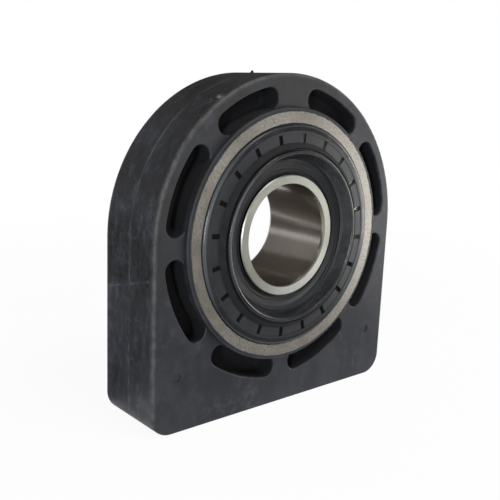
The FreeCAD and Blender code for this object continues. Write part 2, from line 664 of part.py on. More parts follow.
def make_seal_case(label, side):
    body = new_body(label)
    section = outline_sketch(body, "case_section", "XY_Plane", on_side(side, case_section()))
    turn(body, "Revolution", "pressed_case", section)
    return body


def make_seal_rubber(label, side):
    """The seal's rubber, moulded round the case, with a beaded crown and a ring of notches."""
    body = new_body(label)
    section = outline_sketch(body, "rubber_section", "XY_Plane", on_side(side, rubber_section()))
    turn(body, "Revolution", "moulded_rubber", section)
    dress_edges(
        body,
        "Fillet",
        "outer_shoulder",
        lambda edge: lies_at(edge, SEAL_FACE) and is_circle(edge, SEAL_SEAT),
        f"min(sizes.seal_shoulder; 0.9 * ({SEAL_SEAT} - {PAD_OUTER}))",
    )
    beads = [
        (BEAD, f"({side}) * {CROWN}", "sizes.bead_radius"),
        (DUST_LIP, f"({side}) * {DUST_FACE}", "sizes.lip_bead"),
    ]
    turn(body, "Revolution", "beads", circle_sketch(body, "bead_sections", "XY_Plane", beads))
    case = outline_sketch(body, "case_section", "XY_Plane", on_side(side, case_section()))
    turn(body, "Groove", "case_room", case)
    spring = [(SPRING_RADIUS, f"({side}) * {SPRING_PLACE}", "sizes.spring_wire / 2")]
    turn(body, "Groove", "spring_room", circle_sketch(body, "spring_section", "XY_Plane", spring))

    half_width = "(sizes.notch_width / 2)"
    corners = []
    for radius, turned in ((PAD_INNER, -1), (PAD_OUTER, -1), (PAD_OUTER, 1), (PAD_INNER, 1)):
        offset = f"({turned} * {half_width})"
        across = f"({radius} * cos(sizes.notch_turn) - {offset} * sin(sizes.notch_turn))"
        upward = f"({radius} * sin(sizes.notch_turn) + {offset} * cos(sizes.notch_turn))"
        corners.append((across, upward))
    outline = outline_sketch(body, "notch_outline", "XZ_Plane", corners)
    outline.setExpression("AttachmentOffset.Base.z", f"({-side}) * {CASE_FACE}")
    notch = extrude(body, "Pocket", "notch", outline, "sizes.seal_skin", reverse=(side == FRONT))
    pattern_round(body, "notches", [notch], "sizes.notch_count")
    return body


def make_garter_spring(label, side):
    """The closed coil spring round the main lip, as its envelope."""
    spring = doc.addObject("Part::Torus", label)
    spring.Label = label
    spring.setExpression("Radius1", SPRING_RADIUS)
    spring.setExpression("Radius2", "sizes.spring_wire / 2")
    spring.Placement = FreeCAD.Placement(
        FreeCAD.Vector(0, 0, 0), FreeCAD.Rotation(FreeCAD.Vector(1, 0, 0), 90)
    )
    spring.setExpression("Placement.Base.y", f"({side}) * {SPRING_PLACE}")
    return spring


parts = [
    make_block(),
    make_housing_ring(),
    make_outer_race(),
    make_inner_race(),
    make_cage_half("cage_front", FRONT),
    make_cage_half("cage_rear", REAR),
    make_cage_rivets(),
    make_retaining_ring(),
    make_seal_case("front_seal_case", FRONT),
    make_seal_rubber("front_seal_rubber", FRONT),
    make_garter_spring("front_garter_spring", FRONT),
    make_seal_case("rear_seal_case", REAR),
    make_seal_rubber("rear_seal_rubber", REAR),
    make_garter_spring("rear_garter_spring", REAR),
]
parts += make_balls()
doc.recompute()

for item in doc.Objects:
    if "Invalid" in item.State or "Error" in item.State:
        raise RuntimeError(f"{item.Label} failed: {item.State}")
for part in parts:
    if part.Shape.isNull() or not part.Shape.isValid():
        raise RuntimeError(f"{part.Label} has no sound shape")

os.makedirs("parts", exist_ok=True)
for part in parts:
    part.Shape.exportStep(f"parts/{part.Label}.step")
    print(part.Label, len(part.Shape.Solids), round(part.Shape.Volume, 1))
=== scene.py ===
# %% [markdown]
# # A driveshaft centre bearing, from plain solids to a finished picture
# A ball bearing sits in a steel ring, and the ring sits in a block of black rubber. The solids come
# from the packed model, in metres, with their origin on the bearing's axis: +Z is up, and the front
# faces -Y. They could be modelled again here, but then two sets of sizes would have to agree. So the
# solids stay as they are, and this lesson adds what they don't have: finishes, moulding flash, light
# and a camera. First the model is loaded.

# %% Load the model
import json
import math

import bpy
from mathutils import Matrix, Vector, noise


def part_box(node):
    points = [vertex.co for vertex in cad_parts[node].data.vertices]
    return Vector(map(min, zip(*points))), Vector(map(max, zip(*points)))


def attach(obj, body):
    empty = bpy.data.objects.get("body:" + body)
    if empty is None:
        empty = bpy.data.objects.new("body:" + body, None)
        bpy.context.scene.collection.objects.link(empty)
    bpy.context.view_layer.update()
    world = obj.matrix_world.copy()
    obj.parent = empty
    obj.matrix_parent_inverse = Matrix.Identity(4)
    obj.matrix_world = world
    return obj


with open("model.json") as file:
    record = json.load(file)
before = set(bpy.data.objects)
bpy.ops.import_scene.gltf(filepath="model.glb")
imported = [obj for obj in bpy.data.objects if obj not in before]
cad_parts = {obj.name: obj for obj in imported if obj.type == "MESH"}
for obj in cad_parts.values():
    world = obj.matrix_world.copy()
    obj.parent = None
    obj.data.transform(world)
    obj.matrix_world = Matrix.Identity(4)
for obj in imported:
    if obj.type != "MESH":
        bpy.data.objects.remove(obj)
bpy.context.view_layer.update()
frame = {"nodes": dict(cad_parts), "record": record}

# %% [markdown]
# ## Sizes read from the model
# What this lesson adds has to lie on the solids. Its sizes could be typed in, but read from the
# solids' boxes and from the record they can't drift apart. A ring's radius is half the width of its
# box. Of the main sizes only one is typed: how far the steel ring stands out from the block's face.
# The block's box doesn't tell it, because the rubber's thin collar round the ring stands out too.
# Sizes of marks on the surface are typed where they are used, in millimetres.


# %% Read the sizes
MM = 0.001


def in_mm(*sizes):
    """Sizes given in millimetres, turned into metres."""
    return tuple(size * MM for size in sizes)


BORE_RADIUS = next(m for m in frame["record"]["mounts"] if m["name"] == "shaft_bore")["dims"]["r_mm"] * MM
RING_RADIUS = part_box("housing_ring")[1].z
RING_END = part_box("housing_ring")[1].y
RING_STAND = 3.35 * MM
BLOCK_FACE = RING_END - RING_STAND
RACE_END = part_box("inner_race")[1].y
BLOCK_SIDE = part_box("rubber_block")[1].x
FLOOR_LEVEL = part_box("rubber_block")[0].z
print(f"bore {BORE_RADIUS:.4f}, ring {RING_RADIUS:.4f} and {RING_END:.4f}, floor {FLOOR_LEVEL:.4f}")

# %% [markdown]
# ## The camera
# The photograph was taken from the left and a little above, with the camera turned slightly about
# its own axis. A camera could be aimed with a Track To constraint, but that can't hold the small
# roll. So its three directions are worked out from the angles, and become the columns of its matrix.

# %% Place the camera
AZIMUTH = math.radians(-41.07)
ELEVATION = math.radians(11.91)
ROLL = math.radians(2.33)
DISTANCE = 436 * MM
AIM_LEFT = 21.6 * MM
AIM_DOWN = 9.5 * MM
PHOTO_PIXELS = 500
FOCAL_PIXELS = 737.5
SENSOR = 36.0
NEAREST_SEEN = 10 * MM


def camera_matrix():
    """The camera's place and its three directions: right, up and backwards."""
    back = Vector((
        math.sin(AZIMUTH) * math.cos(ELEVATION),
        -math.cos(AZIMUTH) * math.cos(ELEVATION),
        math.sin(ELEVATION),
    ))
    level = (-back).cross(Vector((0, 0, 1))).normalized()
    upright = level.cross(-back)
    aim = Vector((0, -BLOCK_FACE, 0)) - AIM_LEFT * level - AIM_DOWN * upright
    right = math.cos(ROLL) * level + math.sin(ROLL) * upright
    up = math.cos(ROLL) * upright - math.sin(ROLL) * level
    turned = Matrix((right, up, back)).transposed().to_4x4()
    return Matrix.Translation(aim + DISTANCE * back) @ turned


camera = bpy.data.objects.new("camera", bpy.data.cameras.new("camera"))
camera.data.sensor_width = SENSOR
camera.data.lens = FOCAL_PIXELS / PHOTO_PIXELS * SENSOR
camera.data.clip_start = NEAREST_SEEN
camera.matrix_world = camera_matrix()
bpy.context.scene.collection.objects.link(camera)
bpy.context.scene.camera = camera
print(f"camera at {camera.matrix_world.translation[:]}, lens {camera.data.lens:.1f} mm")

# %% [markdown]
# ## Textures without pictures
# Every finish below is made of noise and arithmetic on the surface's own coordinates, so it needs no
# picture and no unwrapping, and it stays on the piece when the piece turns. Nodes can be placed and
# joined by hand, but there are hundreds of them here. So a class keeps the making short: each method
# adds a node or two and hands back the output. This first half holds the coordinates and the sums.
# Many of the sums make masks. A mask is a number from 0 to 1 that says how much something applies.


# %% Arithmetic with nodes
class NodeSums:
    """One material: its main shader, the surface's coordinates, and sums on them."""

    def __init__(self, name, metallic=0.0, shine=0.5):
        self.material = bpy.data.materials.new(name)
        self.material.use_nodes = True
        self.tree = self.material.node_tree
        self.tree.nodes.clear()
        self.shader = self.tree.nodes.new("ShaderNodeBsdfPrincipled")
        self.shader.inputs["Metallic"].default_value = metallic
        self.shader.inputs["Specular IOR Level"].default_value = shine
        output = self.tree.nodes.new("ShaderNodeOutputMaterial")
        self.tree.links.new(self.shader.outputs[0], output.inputs[0])
        self.place = self.tree.nodes.new("ShaderNodeTexCoord").outputs["Object"]
        split = self.tree.nodes.new("ShaderNodeSeparateXYZ")
        self.feed(split.inputs[0], self.place)
        self.x, self.y, self.z = split.outputs
        squares = self.sum("ADD", self.sum("POWER", self.x, 2.0), self.sum("POWER", self.z, 2.0))
        self.radius = self.sum("SQRT", squares)
        self.angle = self.sum("ARCTAN2", self.x, self.z)

    def feed(self, socket, value):
        """Give a socket a fixed value, or join another node's output to it."""
        if isinstance(value, bpy.types.NodeSocket):
            self.tree.links.new(value, socket)
        else:
            socket.default_value = value

    def sum(self, kind, *values):
        """One step of arithmetic, such as ADD or SQRT."""
        node = self.tree.nodes.new("ShaderNodeMath")
        node.operation = kind
        for socket, value in zip(node.inputs, values):
            self.feed(socket, value)
        return node.outputs[0]

    def times(self, product, *others):
        """Values multiplied together. Masks apply where all of them do, and a number weakens them."""
        for other in others:
            product = self.sum("MULTIPLY", product, other)
        return product

    def larger(self, first, second):
        """The larger of two values. Of two masks it applies where either does."""
        return self.sum("MAXIMUM", first, second)

    def opposite(self, mask):
        """1 where the mask is 0, and 0 where it is 1."""
        return self.sum("SUBTRACT", 1.0, mask)

    def fade(self, value, low, high, start=0.0, end=1.0):
        """Go smoothly from start to end while value goes from low to high."""
        node = self.tree.nodes.new("ShaderNodeMapRange")
        node.interpolation_type = "SMOOTHSTEP"
        for socket, given in zip(node.inputs, (value, low, high, start, end)):
            self.feed(socket, given)
        return node.outputs[0]

    def band(self, value, corners):
        """0, then 1, then 0 again, while value passes four corners."""
        start, full, last, end = corners
        return self.times(self.fade(value, start, full), self.fade(value, last, end, 1.0, 0.0))

    def mix(self, factor, first, second):
        """A colour between the first, where the factor is 0, and the second, where it is 1."""
        node = self.tree.nodes.new("ShaderNodeMix")
        node.data_type = "RGBA"
        self.feed(node.inputs["Factor"], factor)
        colour_sockets = [s for s in node.inputs if s.type == "RGBA"]
        self.feed(colour_sockets[0], first)
        self.feed(colour_sockets[1], second)
        return next(s for s in node.outputs if s.type == "RGBA")


print("sums:", [name for name in vars(NodeSums) if not name.startswith("_")])

# %% [markdown]
# The second half makes the patterns. Noise is mostly between 0.35 and 0.65, so the two values of
# noise that a fade starts and ends at say how much it covers: 0.40 and 0.60 give soft patches over
# half of the surface, and 0.62 and 0.70 a few specks. clouds(48, 7, 0.75) is noise with 48 lumps per
# metre and seven finer layers, each 0.75 times as strong as the last. Marks that run round the shaft
# could be drawn by their angle, but an angle jumps from 180 to -180 degrees and would leave a seam.
# So they are drawn by X, Z and the distance from the axis, and a direction is measured by a cosine,
# which has no jump either.


# %% Patterns on the surface
class Finish(NodeSums):
    """Noise, marks and directions on the surface, and the relief that goes with them."""

    def clouds(self, scale, detail=4.0, rough=0.55, where=None):
        """Soft noise between 0 and 1. scale is lumps per metre."""
        node = self.tree.nodes.new("ShaderNodeTexNoise")
        self.feed(node.inputs["Vector"], where or self.place)
        node.inputs["Scale"].default_value = scale
        node.inputs["Detail"].default_value = detail
        node.inputs["Roughness"].default_value = rough
        return node.outputs[0]

    def stretch(self, across, along, upward):
        """The surface's coordinates, scaled on their own along X, Y and Z."""
        node = self.tree.nodes.new("ShaderNodeMapping")
        self.feed(node.inputs["Vector"], self.place)
        node.inputs["Scale"].default_value = (across, along, upward)
        return node.outputs[0]

    def round_axis(self, outward, along, around):
        """Coordinates for marks that run round the axis: how fast they change each way, per metre."""
        node = self.tree.nodes.new("ShaderNodeCombineXYZ")
        outward_and_across = self.sum("ADD", self.times(self.radius, outward), self.times(self.x, around))
        self.feed(node.inputs[0], outward_and_across)
        self.feed(node.inputs[1], self.times(self.y, along))
        self.feed(node.inputs[2], self.times(self.z, around))
        return node.outputs[0]

    def sector(self, middle, inner, outer):
        """1 within the inner angle of a direction, and 0 beyond the outer one.

        All are in degrees. The direction is clockwise from the top, seen from the front.
        """
        off = self.sum("COSINE", self.sum("SUBTRACT", self.angle, math.radians(middle)))
        return self.fade(off, math.cos(math.radians(outer)), math.cos(math.radians(inner)))

    def spot(self, at, inner, outer):
        """1 within the inner distance of a point, and 0 beyond the outer one."""
        node = self.tree.nodes.new("ShaderNodeVectorMath")
        node.operation = "DISTANCE"
        self.feed(node.inputs[0], self.place)
        node.inputs[1].default_value = at
        return self.fade(node.outputs["Value"], inner, outer, 1.0, 0.0)

    def line(self, value, width):
        """1 where value is 0, falling to 0 at a width to each side."""
        return self.fade(self.sum("ABSOLUTE", value), 0.2 * width, width, 1.0, 0.0)

    def relief(self, height, depth, strength=1.0, under=None):
        """Shade the surface as if a height between 0 and 1 lifted it by up to depth metres."""
        node = self.tree.nodes.new("ShaderNodeBump")
        node.inputs["Strength"].default_value = strength
        node.inputs["Distance"].default_value = depth
        self.feed(node.inputs["Height"], height)
        if under:
            self.feed(node.inputs["Normal"], under)
        return node.outputs[0]

    def finish(self, colour, roughness, normal):
        """Join the finished colour, roughness and relief to the shader."""
        self.feed(self.shader.inputs["Base Color"], colour)
        self.feed(self.shader.inputs["Roughness"], roughness)
        self.feed(self.shader.inputs["Normal"], normal)
        print("finish:", self.material.name, len(self.tree.nodes), "nodes")
        return self.material


print("patterns:", [name for name in vars(Finish) if not name.startswith("_")])

# %% [markdown]
# ## Moulded rubber of the block
# Rubber from a mould is nearly black, and satin rather than matt. What makes it look real is what
# lies on it: bluish dusty bloom, dark grime, pale edges, mould lines and scratches. The pale edges
# are partly wear and partly a painted highlight, and painted shade darkens the upper outside, the
# slots and one pit. Each keeps to its own place, so the shader first has to know where it is: on the
# outside, on the edge between face and outside, or down in a slot. Such masks could be painted by
# hand. Worked out from the coordinates, they are sharp from any distance and fit the front and the
# rear at once.


# %% Places on the block
def block_places(rubber):
    """Three masks: the outside, the edge between face and outside, and the slots."""
    deep = rubber.sum("SUBTRACT", BLOCK_FACE, rubber.sum("ABSOLUTE", rubber.y))
    arched = rubber.times(rubber.radius, rubber.sum("GREATER_THAN", rubber.z, 0.0))
    reach = rubber.larger(rubber.sum("ABSOLUTE", rubber.x), arched)
    behind_face = rubber.fade(deep, 1.0 * MM, 2.5 * MM)
    near_face = rubber.fade(deep, 1.0 * MM, 3.6 * MM, 1.0, 0.0)
    outermost = rubber.fade(reach, BLOCK_SIDE - 1.0 * MM, BLOCK_SIDE - 0.3 * MM)
    rounded = rubber.fade(reach, BLOCK_SIDE - 2.6 * MM, BLOCK_SIDE - 1.0 * MM)
    inboard = rubber.fade(reach, BLOCK_SIDE - 5.0 * MM, BLOCK_SIDE - 3.0 * MM, 1.0, 0.0)
    outside = rubber.times(outermost, behind_face)
    edge = rubber.times(rounded, near_face)
    slots = rubber.times(behind_face, inboard)
    return outside, edge, slots


print(f"block: faces {BLOCK_FACE:.4f} from the middle, sides {BLOCK_SIDE:.4f} from the axis")

# %% [markdown]
# The bloom on the outside is made of four noises at once: streaks that run along the arch and down
# the sides, patches, mottling, and fine dark pores. One noise at one size would look like camouflage.
# The real block is rubbed cleaner half way up its sides, and it has less bloom on top of its arch.

# %% Bloom on the outside
RUBBED_TOP = in_mm(2, 14)
RUBBED_BOTTOM = in_mm(-28, -20)
ARCH_FADES = in_mm(10, 85)
BLOOM_ON_BAND = 0.5
BLOOM_ON_TOP = 0.35


def block_bloom(rubber, outside, patches, mottle):
    """How much bloom lies on the rubber, from 0 to 1."""
    streaks = rubber.clouds(1, 6, 0.65, rubber.round_axis(0, 170, 65))
    pores = rubber.fade(rubber.clouds(480, 5, 0.75), 0.52, 0.64)
    dusty = rubber.times(
        rubber.fade(streaks, 0.38, 0.62, 0.3, 1.0),
        rubber.fade(patches, 0.40, 0.60, 0.1, 1.3),
        rubber.fade(mottle, 0.38, 0.60, 0.4, 1.1),
    )
    above = rubber.fade(rubber.z, *RUBBED_TOP)
    below = rubber.fade(rubber.z, *RUBBED_BOTTOM, 1.0, 0.0)
    return rubber.times(
        dusty,
        rubber.fade(rubber.larger(above, below), 0.0, 1.0, BLOOM_ON_BAND, 1.0),
        rubber.fade(rubber.z, *ARCH_FADES, 1.0, BLOOM_ON_TOP),
        rubber.fade(pores, 0.0, 1.0, 1.0, 0.25),
        outside,
    )


print("bloom left at the rubbed band", BLOOM_ON_BAND, "and on top", BLOOM_ON_TOP)

# %% [markdown]
# Two mould halves met round the middle of the outside, and an insert met them across each side. Both
# left a thin line. They could be solids, but they are less than 0.2 mm high, so a paler colour and a
# little relief do as well. A slow noise bends the first line, as the real one wanders. Hair-thin
# scratches need no drawing either: they lie wherever another slow noise passes its middle value.

# %% Mould lines and scratches
PARTING_WIDTH = 1.5 * MM
PARTING_WANDER = 1.2 * MM
SEAM_WIDTH = 1.1 * MM
SEAM_HEIGHT = -21.9 * MM
SEAM_SLOPE = 0.27
SCRATCH_WIDTH = 0.010


def block_lines(rubber, outside, patches, mottle, broad):
    """The two mould lines and the scratches, from 0 to 1."""
    parting = rubber.line(rubber.sum("ADD", rubber.y, rubber.times(broad, PARTING_WANDER)), PARTING_WIDTH)
    slanted = rubber.sum("ADD", rubber.z, rubber.times(rubber.y, SEAM_SLOPE))
    seam = rubber.line(rubber.sum("SUBTRACT", slanted, SEAM_HEIGHT), SEAM_WIDTH)
    mould_lines = rubber.times(
        rubber.larger(parting, seam),
        outside,
        rubber.fade(patches, 0.42, 0.60, 0.15, 1.0),
    )
    paths = rubber.clouds(1, 1, 0.5, rubber.round_axis(0, 45, 75))
    scratches = rubber.times(
        rubber.line(rubber.sum("SUBTRACT", paths, 0.5), SCRATCH_WIDTH),
        rubber.fade(mottle, 0.50, 0.62, 0.0, 0.6),
        outside,
    )
    return rubber.larger(mould_lines, scratches)


print(f"mould line on the sides at {SEAM_HEIGHT:.4f}, sloping {SEAM_SLOPE}")

# %% [markdown]
# Grime takes the blue and the shine away. It could be one dark tint, but on the real block it lies in
# blots with hard rims. It is thickest just above the mould line across the sides, thinner further
# up, and thinnest below that line.

# %% Grime on the outside
GRIME_STARTS = in_mm(-24, -19)
GRIME_THINS = in_mm(4, 16)
GRIME_ABOVE = 0.45
GRIME_LEAST = 0.35


def block_grime(rubber, outside):
    """How grimy the outside is, from 0 to 1."""
    blots = rubber.fade(rubber.clouds(150, 8, 0.8, rubber.stretch(1.0, 1.3, 0.8)), 0.45, 0.60)
    by_height = rubber.times(
        rubber.fade(rubber.z, *GRIME_STARTS),
        rubber.fade(rubber.z, *GRIME_THINS, 1.0, GRIME_ABOVE),
    )
    return rubber.times(rubber.larger(by_height, GRIME_LEAST), blots, outside)


print("least grime on the outside", GRIME_LEAST, "and further up", GRIME_ABOVE)

# %% [markdown]
# Colours go on one over another, as they did on the real block: first the rubber, bluer low down,
# with broad smears, and then bloom. Between them, painted shade darkens the upper outside. All of
# them are far darker than they look in a picture, because black rubber shows mostly what it
# reflects. A flat black with more light on it would be simpler, but it looks like plastic.


# %% Rubber and its bloom
def grey(level, warmth=0.0):
    """A grey as light as level. Above 0 warmth makes it browner, below 0 bluer."""
    return (level * (1 + warmth), level, level * (1 - warmth), 1.0)


LOW_RUBBER = (0.0108, 0.0118, 0.0155, 1)
HIGH_RUBBER = (0.0155, 0.0148, 0.0145, 1)
SMEARED_RUBBER = (0.0215, 0.0218, 0.0255, 1)
# Painted shade: the upper outside is painted darker.
UPPER_SHADE = (0.0080, 0.0080, 0.0088, 1)
BLOOM = (0.052, 0.054, 0.068, 1)
LOW_TO_HIGH = in_mm(-90, 40)
UPPER_SHADE_STARTS = in_mm(-40, -15)


def block_base(rubber, outside, bloom, mottle, broad):
    """The colour of the block's rubber, with its smears, painted shade on the upper outside, and bloom.
    """
    smears = rubber.clouds(30, 7, 0.7, rubber.stretch(1.0, 1.0, 0.7))
    tint = rubber.mix(rubber.fade(rubber.z, *LOW_TO_HIGH), LOW_RUBBER, HIGH_RUBBER)
    tint = rubber.mix(rubber.fade(smears, 0.40, 0.62), tint, SMEARED_RUBBER)
    upper_shade = rubber.times(outside, rubber.fade(rubber.z, *UPPER_SHADE_STARTS), 0.85)
    tint = rubber.mix(upper_shade, tint, UPPER_SHADE)
    film = rubber.times(rubber.fade(broad, 0.42, 0.60), rubber.fade(mottle, 0.46, 0.66), 0.65)
    return rubber.mix(rubber.larger(film, rubber.times(bloom, 0.85)), tint, BLOOM)


print("bloom is", round(BLOOM[1] / LOW_RUBBER[1], 1), "times as light as the rubber under it")

# %% [markdown]
# Grime, pale edges and lines come last, with one pale scuff on the arch. The pale edges are partly
# wear and partly a painted highlight. Only the pits at the lower corners of the face are deep enough
# to be in the solids, and here the right one is painted dark inside, as painted shade. The slots are
# painted near black as painted shade, with little shine. Relief could be one noise, but it is
# stacked from coarse to fine: lumps, raised lines and grain.

# %% Block rubber
GRIME = (0.0040, 0.0040, 0.0048, 1)
# Painted shade: the slots are painted near black.
SLOT_SHADE = (0.0045, 0.0042, 0.0052, 1)
# Pale edges: partly wear, partly a painted highlight.
EDGE_WEAR_AND_HIGHLIGHT = grey(0.060, 0.04)
LINE_RUBBER = grey(0.085, -0.08)
SCUFFED_RUBBER = grey(0.22, 0.05)
# Painted shade inside the right pit.
PIT_SHADE = grey(0.008)
SCUFF = in_mm(-51.7, -18.6, 77.9)
RIGHT_PIT = (77.5 * MM, -BLOCK_FACE, -71.7 * MM)
SCUFF_RADII = in_mm(1.5, 5.5)
PIT_RADII = in_mm(1.8, 2.7)


def make_block_rubber():
    rubber = Finish("block_rubber", shine=0.3)
    outside, edge, slots = block_places(rubber)
    broad = rubber.clouds(14, 5, 0.6)
    patches = rubber.clouds(48, 7, 0.75, rubber.stretch(1.0, 1.6, 0.9))
    mottle = rubber.clouds(130, 6, 0.7)
    grain = rubber.clouds(1500, 3, 0.5)
    bloom = block_bloom(rubber, outside, patches, mottle)
    lines = block_lines(rubber, outside, patches, mottle, broad)
    grime = block_grime(rubber, outside)
    edge_wear_and_highlight = rubber.times(edge, rubber.fade(mottle, 0.36, 0.62, 0.2, 0.9))
    torn = rubber.fade(rubber.clouds(330, 4, 0.7), 0.48, 0.58)
    scuff = rubber.times(rubber.spot(SCUFF, *SCUFF_RADII), torn, 0.8)
    pit_shade = rubber.times(rubber.spot(RIGHT_PIT, *PIT_RADII), 0.7)

    colour = block_base(rubber, outside, bloom, mottle, broad)
    colour = rubber.mix(rubber.times(grime, 0.7), colour, GRIME)
    colour = rubber.mix(edge_wear_and_highlight, colour, EDGE_WEAR_AND_HIGHLIGHT)
    colour = rubber.mix(rubber.times(lines, 0.5), colour, LINE_RUBBER)
    colour = rubber.mix(scuff, colour, SCUFFED_RUBBER)
    colour = rubber.mix(slots, colour, SLOT_SHADE)
    colour = rubber.mix(pit_shade, colour, PIT_SHADE)

    roughness = rubber.larger(rubber.fade(mottle, 0.2, 0.8, 0.42, 0.60), rubber.times(slots, 0.9))
    roughness = rubber.larger(roughness, rubber.times(grime, 0.75))
    surface = rubber.relief(mottle, 0.20 * MM, 0.4)
    surface = rubber.relief(lines, 0.15 * MM, 0.8, surface)
    surface = rubber.relief(grain, 0.05 * MM, 0.5, surface)
    return rubber.finish(colour, roughness, surface)


block_rubber = make_block_rubber()

# %% [markdown]
# ## Rubber of the seals
# The seals are moulded in a turned and polished tool. On the real ones the outer shoulder and the
# bead are rubbed glossy, and the sunk web near the race is dull with grease. The flank outside the
# bead is painted black, as painted shade. All of these are rings, so bands of the distance from the
# axis find them, on the front and the rear seal at once. Faces picked by hand would do too, but only
# for these exact solids.

# %% Places on the seal
WEB_ENDS = in_mm(44.8, 45.8)
BEAD = in_mm(45.8, 46.3, 50.5, 51.0)
BEAD_TOP = in_mm(48.6, 49.1, 49.9, 50.3)
FLANK = in_mm(51.4, 52.0, 54.6, 55.4)
SHOULDER_STARTS = in_mm(61.2, 62.2)
SHOULDER_RIM = in_mm(63.3, 63.8, 65.0, 65.4)


def seal_places(rubber):
    """Three masks: the sunk web, the flank outside the bead, and what is glossy."""
    web = rubber.fade(rubber.radius, *WEB_ENDS, 1.0, 0.0)
    flank = rubber.band(rubber.radius, FLANK)
    shoulder = rubber.fade(rubber.radius, *SHOULDER_STARTS)
    return web, flank, rubber.larger(rubber.band(rubber.radius, BEAD), shoulder)


print(f"seal: bead {BEAD[0]:.4f} to {BEAD[-1]:.4f} from the axis, flank to {FLANK[-1]:.4f}")

# %% [markdown]
# Dust follows the fine rings that the tool left. One even film of it would be simpler, but the seal
# isn't painted the same all round. It is painted paler on the right, as painted light. The web's
# lower right holds wiped grease with a painted highlight on it, and a few bright specks that are
# painted glints. On the left the tops of the bead and the shoulder carry a painted highlight. So each
# of these takes a direction too. The low parts of the web's rings are painted darker, as painted
# shade.

# %% Dust, grease and rubbing
SEAL_RUBBER = (0.0066, 0.0070, 0.0086, 1)
SEAL_DUST = (0.021, 0.0215, 0.026, 1)
# Painted light: the seal is painted paler on the right.
PAINTED_LIGHT_SEAL = grey(0.038, -0.02)
# Wiped grease on the web's lower right, with a painted highlight on it.
GREASE_AND_HIGHLIGHT = grey(0.045, -0.08)
# Painted glints: bright specks on the web's lower right.
PAINTED_GLINTS = grey(0.12)
# Painted shade: near black on the flank and in the low parts of the web's rings.
SEAL_SHADE = grey(0.003)
# Painted highlight on the tops of the bead and the shoulder, on the left.
PAINTED_HIGHLIGHT_SEAL = grey(0.052, -0.08)
LIGHT_ON_RIGHT = (75, 20, 75)
LOWER_RIGHT = (145, 15, 50)
HIGHLIGHT_ON_LEFT = (-78, 12, 50)


def seal_colour(rubber, web, flank, broad, middle, rings, turns):
    """The seal's colour: rubber, dust and grease, with painted light, shade, highlights and glints."""
    dust = rubber.times(rubber.fade(broad, 0.38, 0.66), rubber.fade(rings, 0.36, 0.66))
    dust = rubber.times(dust, rubber.opposite(rubber.times(web, 0.7)))
    dust = rubber.larger(dust, rubber.times(web, rubber.fade(middle, 0.60, 0.74, 0.0, 0.4)))
    painted_light = rubber.times(rubber.sector(*LIGHT_ON_RIGHT), rubber.opposite(web))
    painted_light = rubber.times(painted_light, rubber.fade(middle, 0.3, 0.6, 0.5, 1.0))
    below = rubber.times(web, rubber.sector(*LOWER_RIGHT))
    grease_and_highlight = rubber.times(below, rubber.fade(turns, 0.35, 0.60, 0.2, 1.0))
    specks = rubber.fade(rubber.clouds(620, 3, 0.6), 0.64, 0.70)
    glints = rubber.times(specks, below, rubber.fade(broad, 0.45, 0.60))
    groove_shade = rubber.times(web, rubber.fade(turns, 0.42, 0.55, 0.8, 0.0))
    highlight_tops = rubber.larger(rubber.band(rubber.radius, BEAD_TOP), rubber.band(rubber.radius, SHOULDER_RIM))

    colour = rubber.mix(dust, SEAL_RUBBER, SEAL_DUST)
    colour = rubber.mix(painted_light, colour, PAINTED_LIGHT_SEAL)
    colour = rubber.mix(grease_and_highlight, colour, GREASE_AND_HIGHLIGHT)
    colour = rubber.mix(glints, colour, PAINTED_GLINTS)
    colour = rubber.mix(groove_shade, colour, SEAL_SHADE)
    colour = rubber.mix(flank, colour, SEAL_SHADE)
    return rubber.mix(rubber.times(highlight_tops, rubber.sector(*HIGHLIGHT_ON_LEFT)), colour, PAINTED_HIGHLIGHT_SEAL)


print("seal dust is", round(SEAL_DUST[1] / SEAL_RUBBER[1], 1), "times as light as the rubber")

# %% [markdown]
# Gloss is what tells the parts of a black seal from each other. It could be the same all over and
# left to the shapes, but on the real seal it follows the same places as the dust. The glossy bands
# get no relief at all: even fine lumps would break their thin highlights into specks.

# %% Seal rubber
GLOSS_GAIN = 0.26
FLANK_DULLNESS = 0.35


def make_seal_rubber():
    rubber = Finish("seal_rubber", shine=0.36)
    web, flank, glossy = seal_places(rubber)
    broad = rubber.clouds(30, 5, 0.6)
    middle = rubber.clouds(170, 6, 0.7)
    grain = rubber.clouds(2200, 3, 0.5)
    rings = rubber.clouds(1, 4, 0.6, rubber.round_axis(900, 900, 24))
    turns = rubber.clouds(1, 4, 0.75, rubber.round_axis(520, 520, 22))
    colour = seal_colour(rubber, web, flank, broad, middle, rings, turns)

    roughness = rubber.fade(middle, 0.25, 0.8, 0.42, 0.58)
    roughness = rubber.sum("SUBTRACT", roughness, rubber.times(glossy, GLOSS_GAIN))
    roughness = rubber.sum("ADD", roughness, rubber.times(flank, FLANK_DULLNESS))
    dull = rubber.opposite(glossy)
    surface = rubber.relief(rubber.times(broad, dull), 0.3 * MM, 0.3)
    surface = rubber.relief(rubber.times(rings, dull), 0.08 * MM, 0.5, surface)
    surface = rubber.relief(rubber.times(turns, web), 1.2 * MM, 0.9, surface)
    surface = rubber.relief(rubber.times(grain, dull), 0.03 * MM, 0.5, surface)
    return rubber.finish(colour, roughness, surface)


seal_rubber = make_seal_rubber()

# %% [markdown]
# ## Steel of the ring
# The ring's end was turned and then left to the weather: a creamy, matt grey with coarse grain, a few
# dark specks, a brown stain on the left, and cleaner metal on the right, which is also painted paler
# as painted light. Brushed metal could be had from anisotropy, but here the tool marks are nearly
# gone, so a fine bump and a rough shader come closer.

# %% Ring steel
RING_GRAIN = ((0.176, 0.163, 0.145, 1), (0.312, 0.289, 0.258, 1))
DULL_RING = (0.150, 0.138, 0.115, 1)
# Cleaner metal on the right, also painted paler as painted light.
CLEAN_AND_LIT_RING = (0.41, 0.39, 0.35, 1)
STAINED_RING = (0.130, 0.118, 0.098, 1)
RUST_SPECKS = (0.035, 0.030, 0.024, 1)
STAINED_SIDE = (-90, 8, 40)
CLEAN_AND_LIT_SIDE = (80, 15, 75)


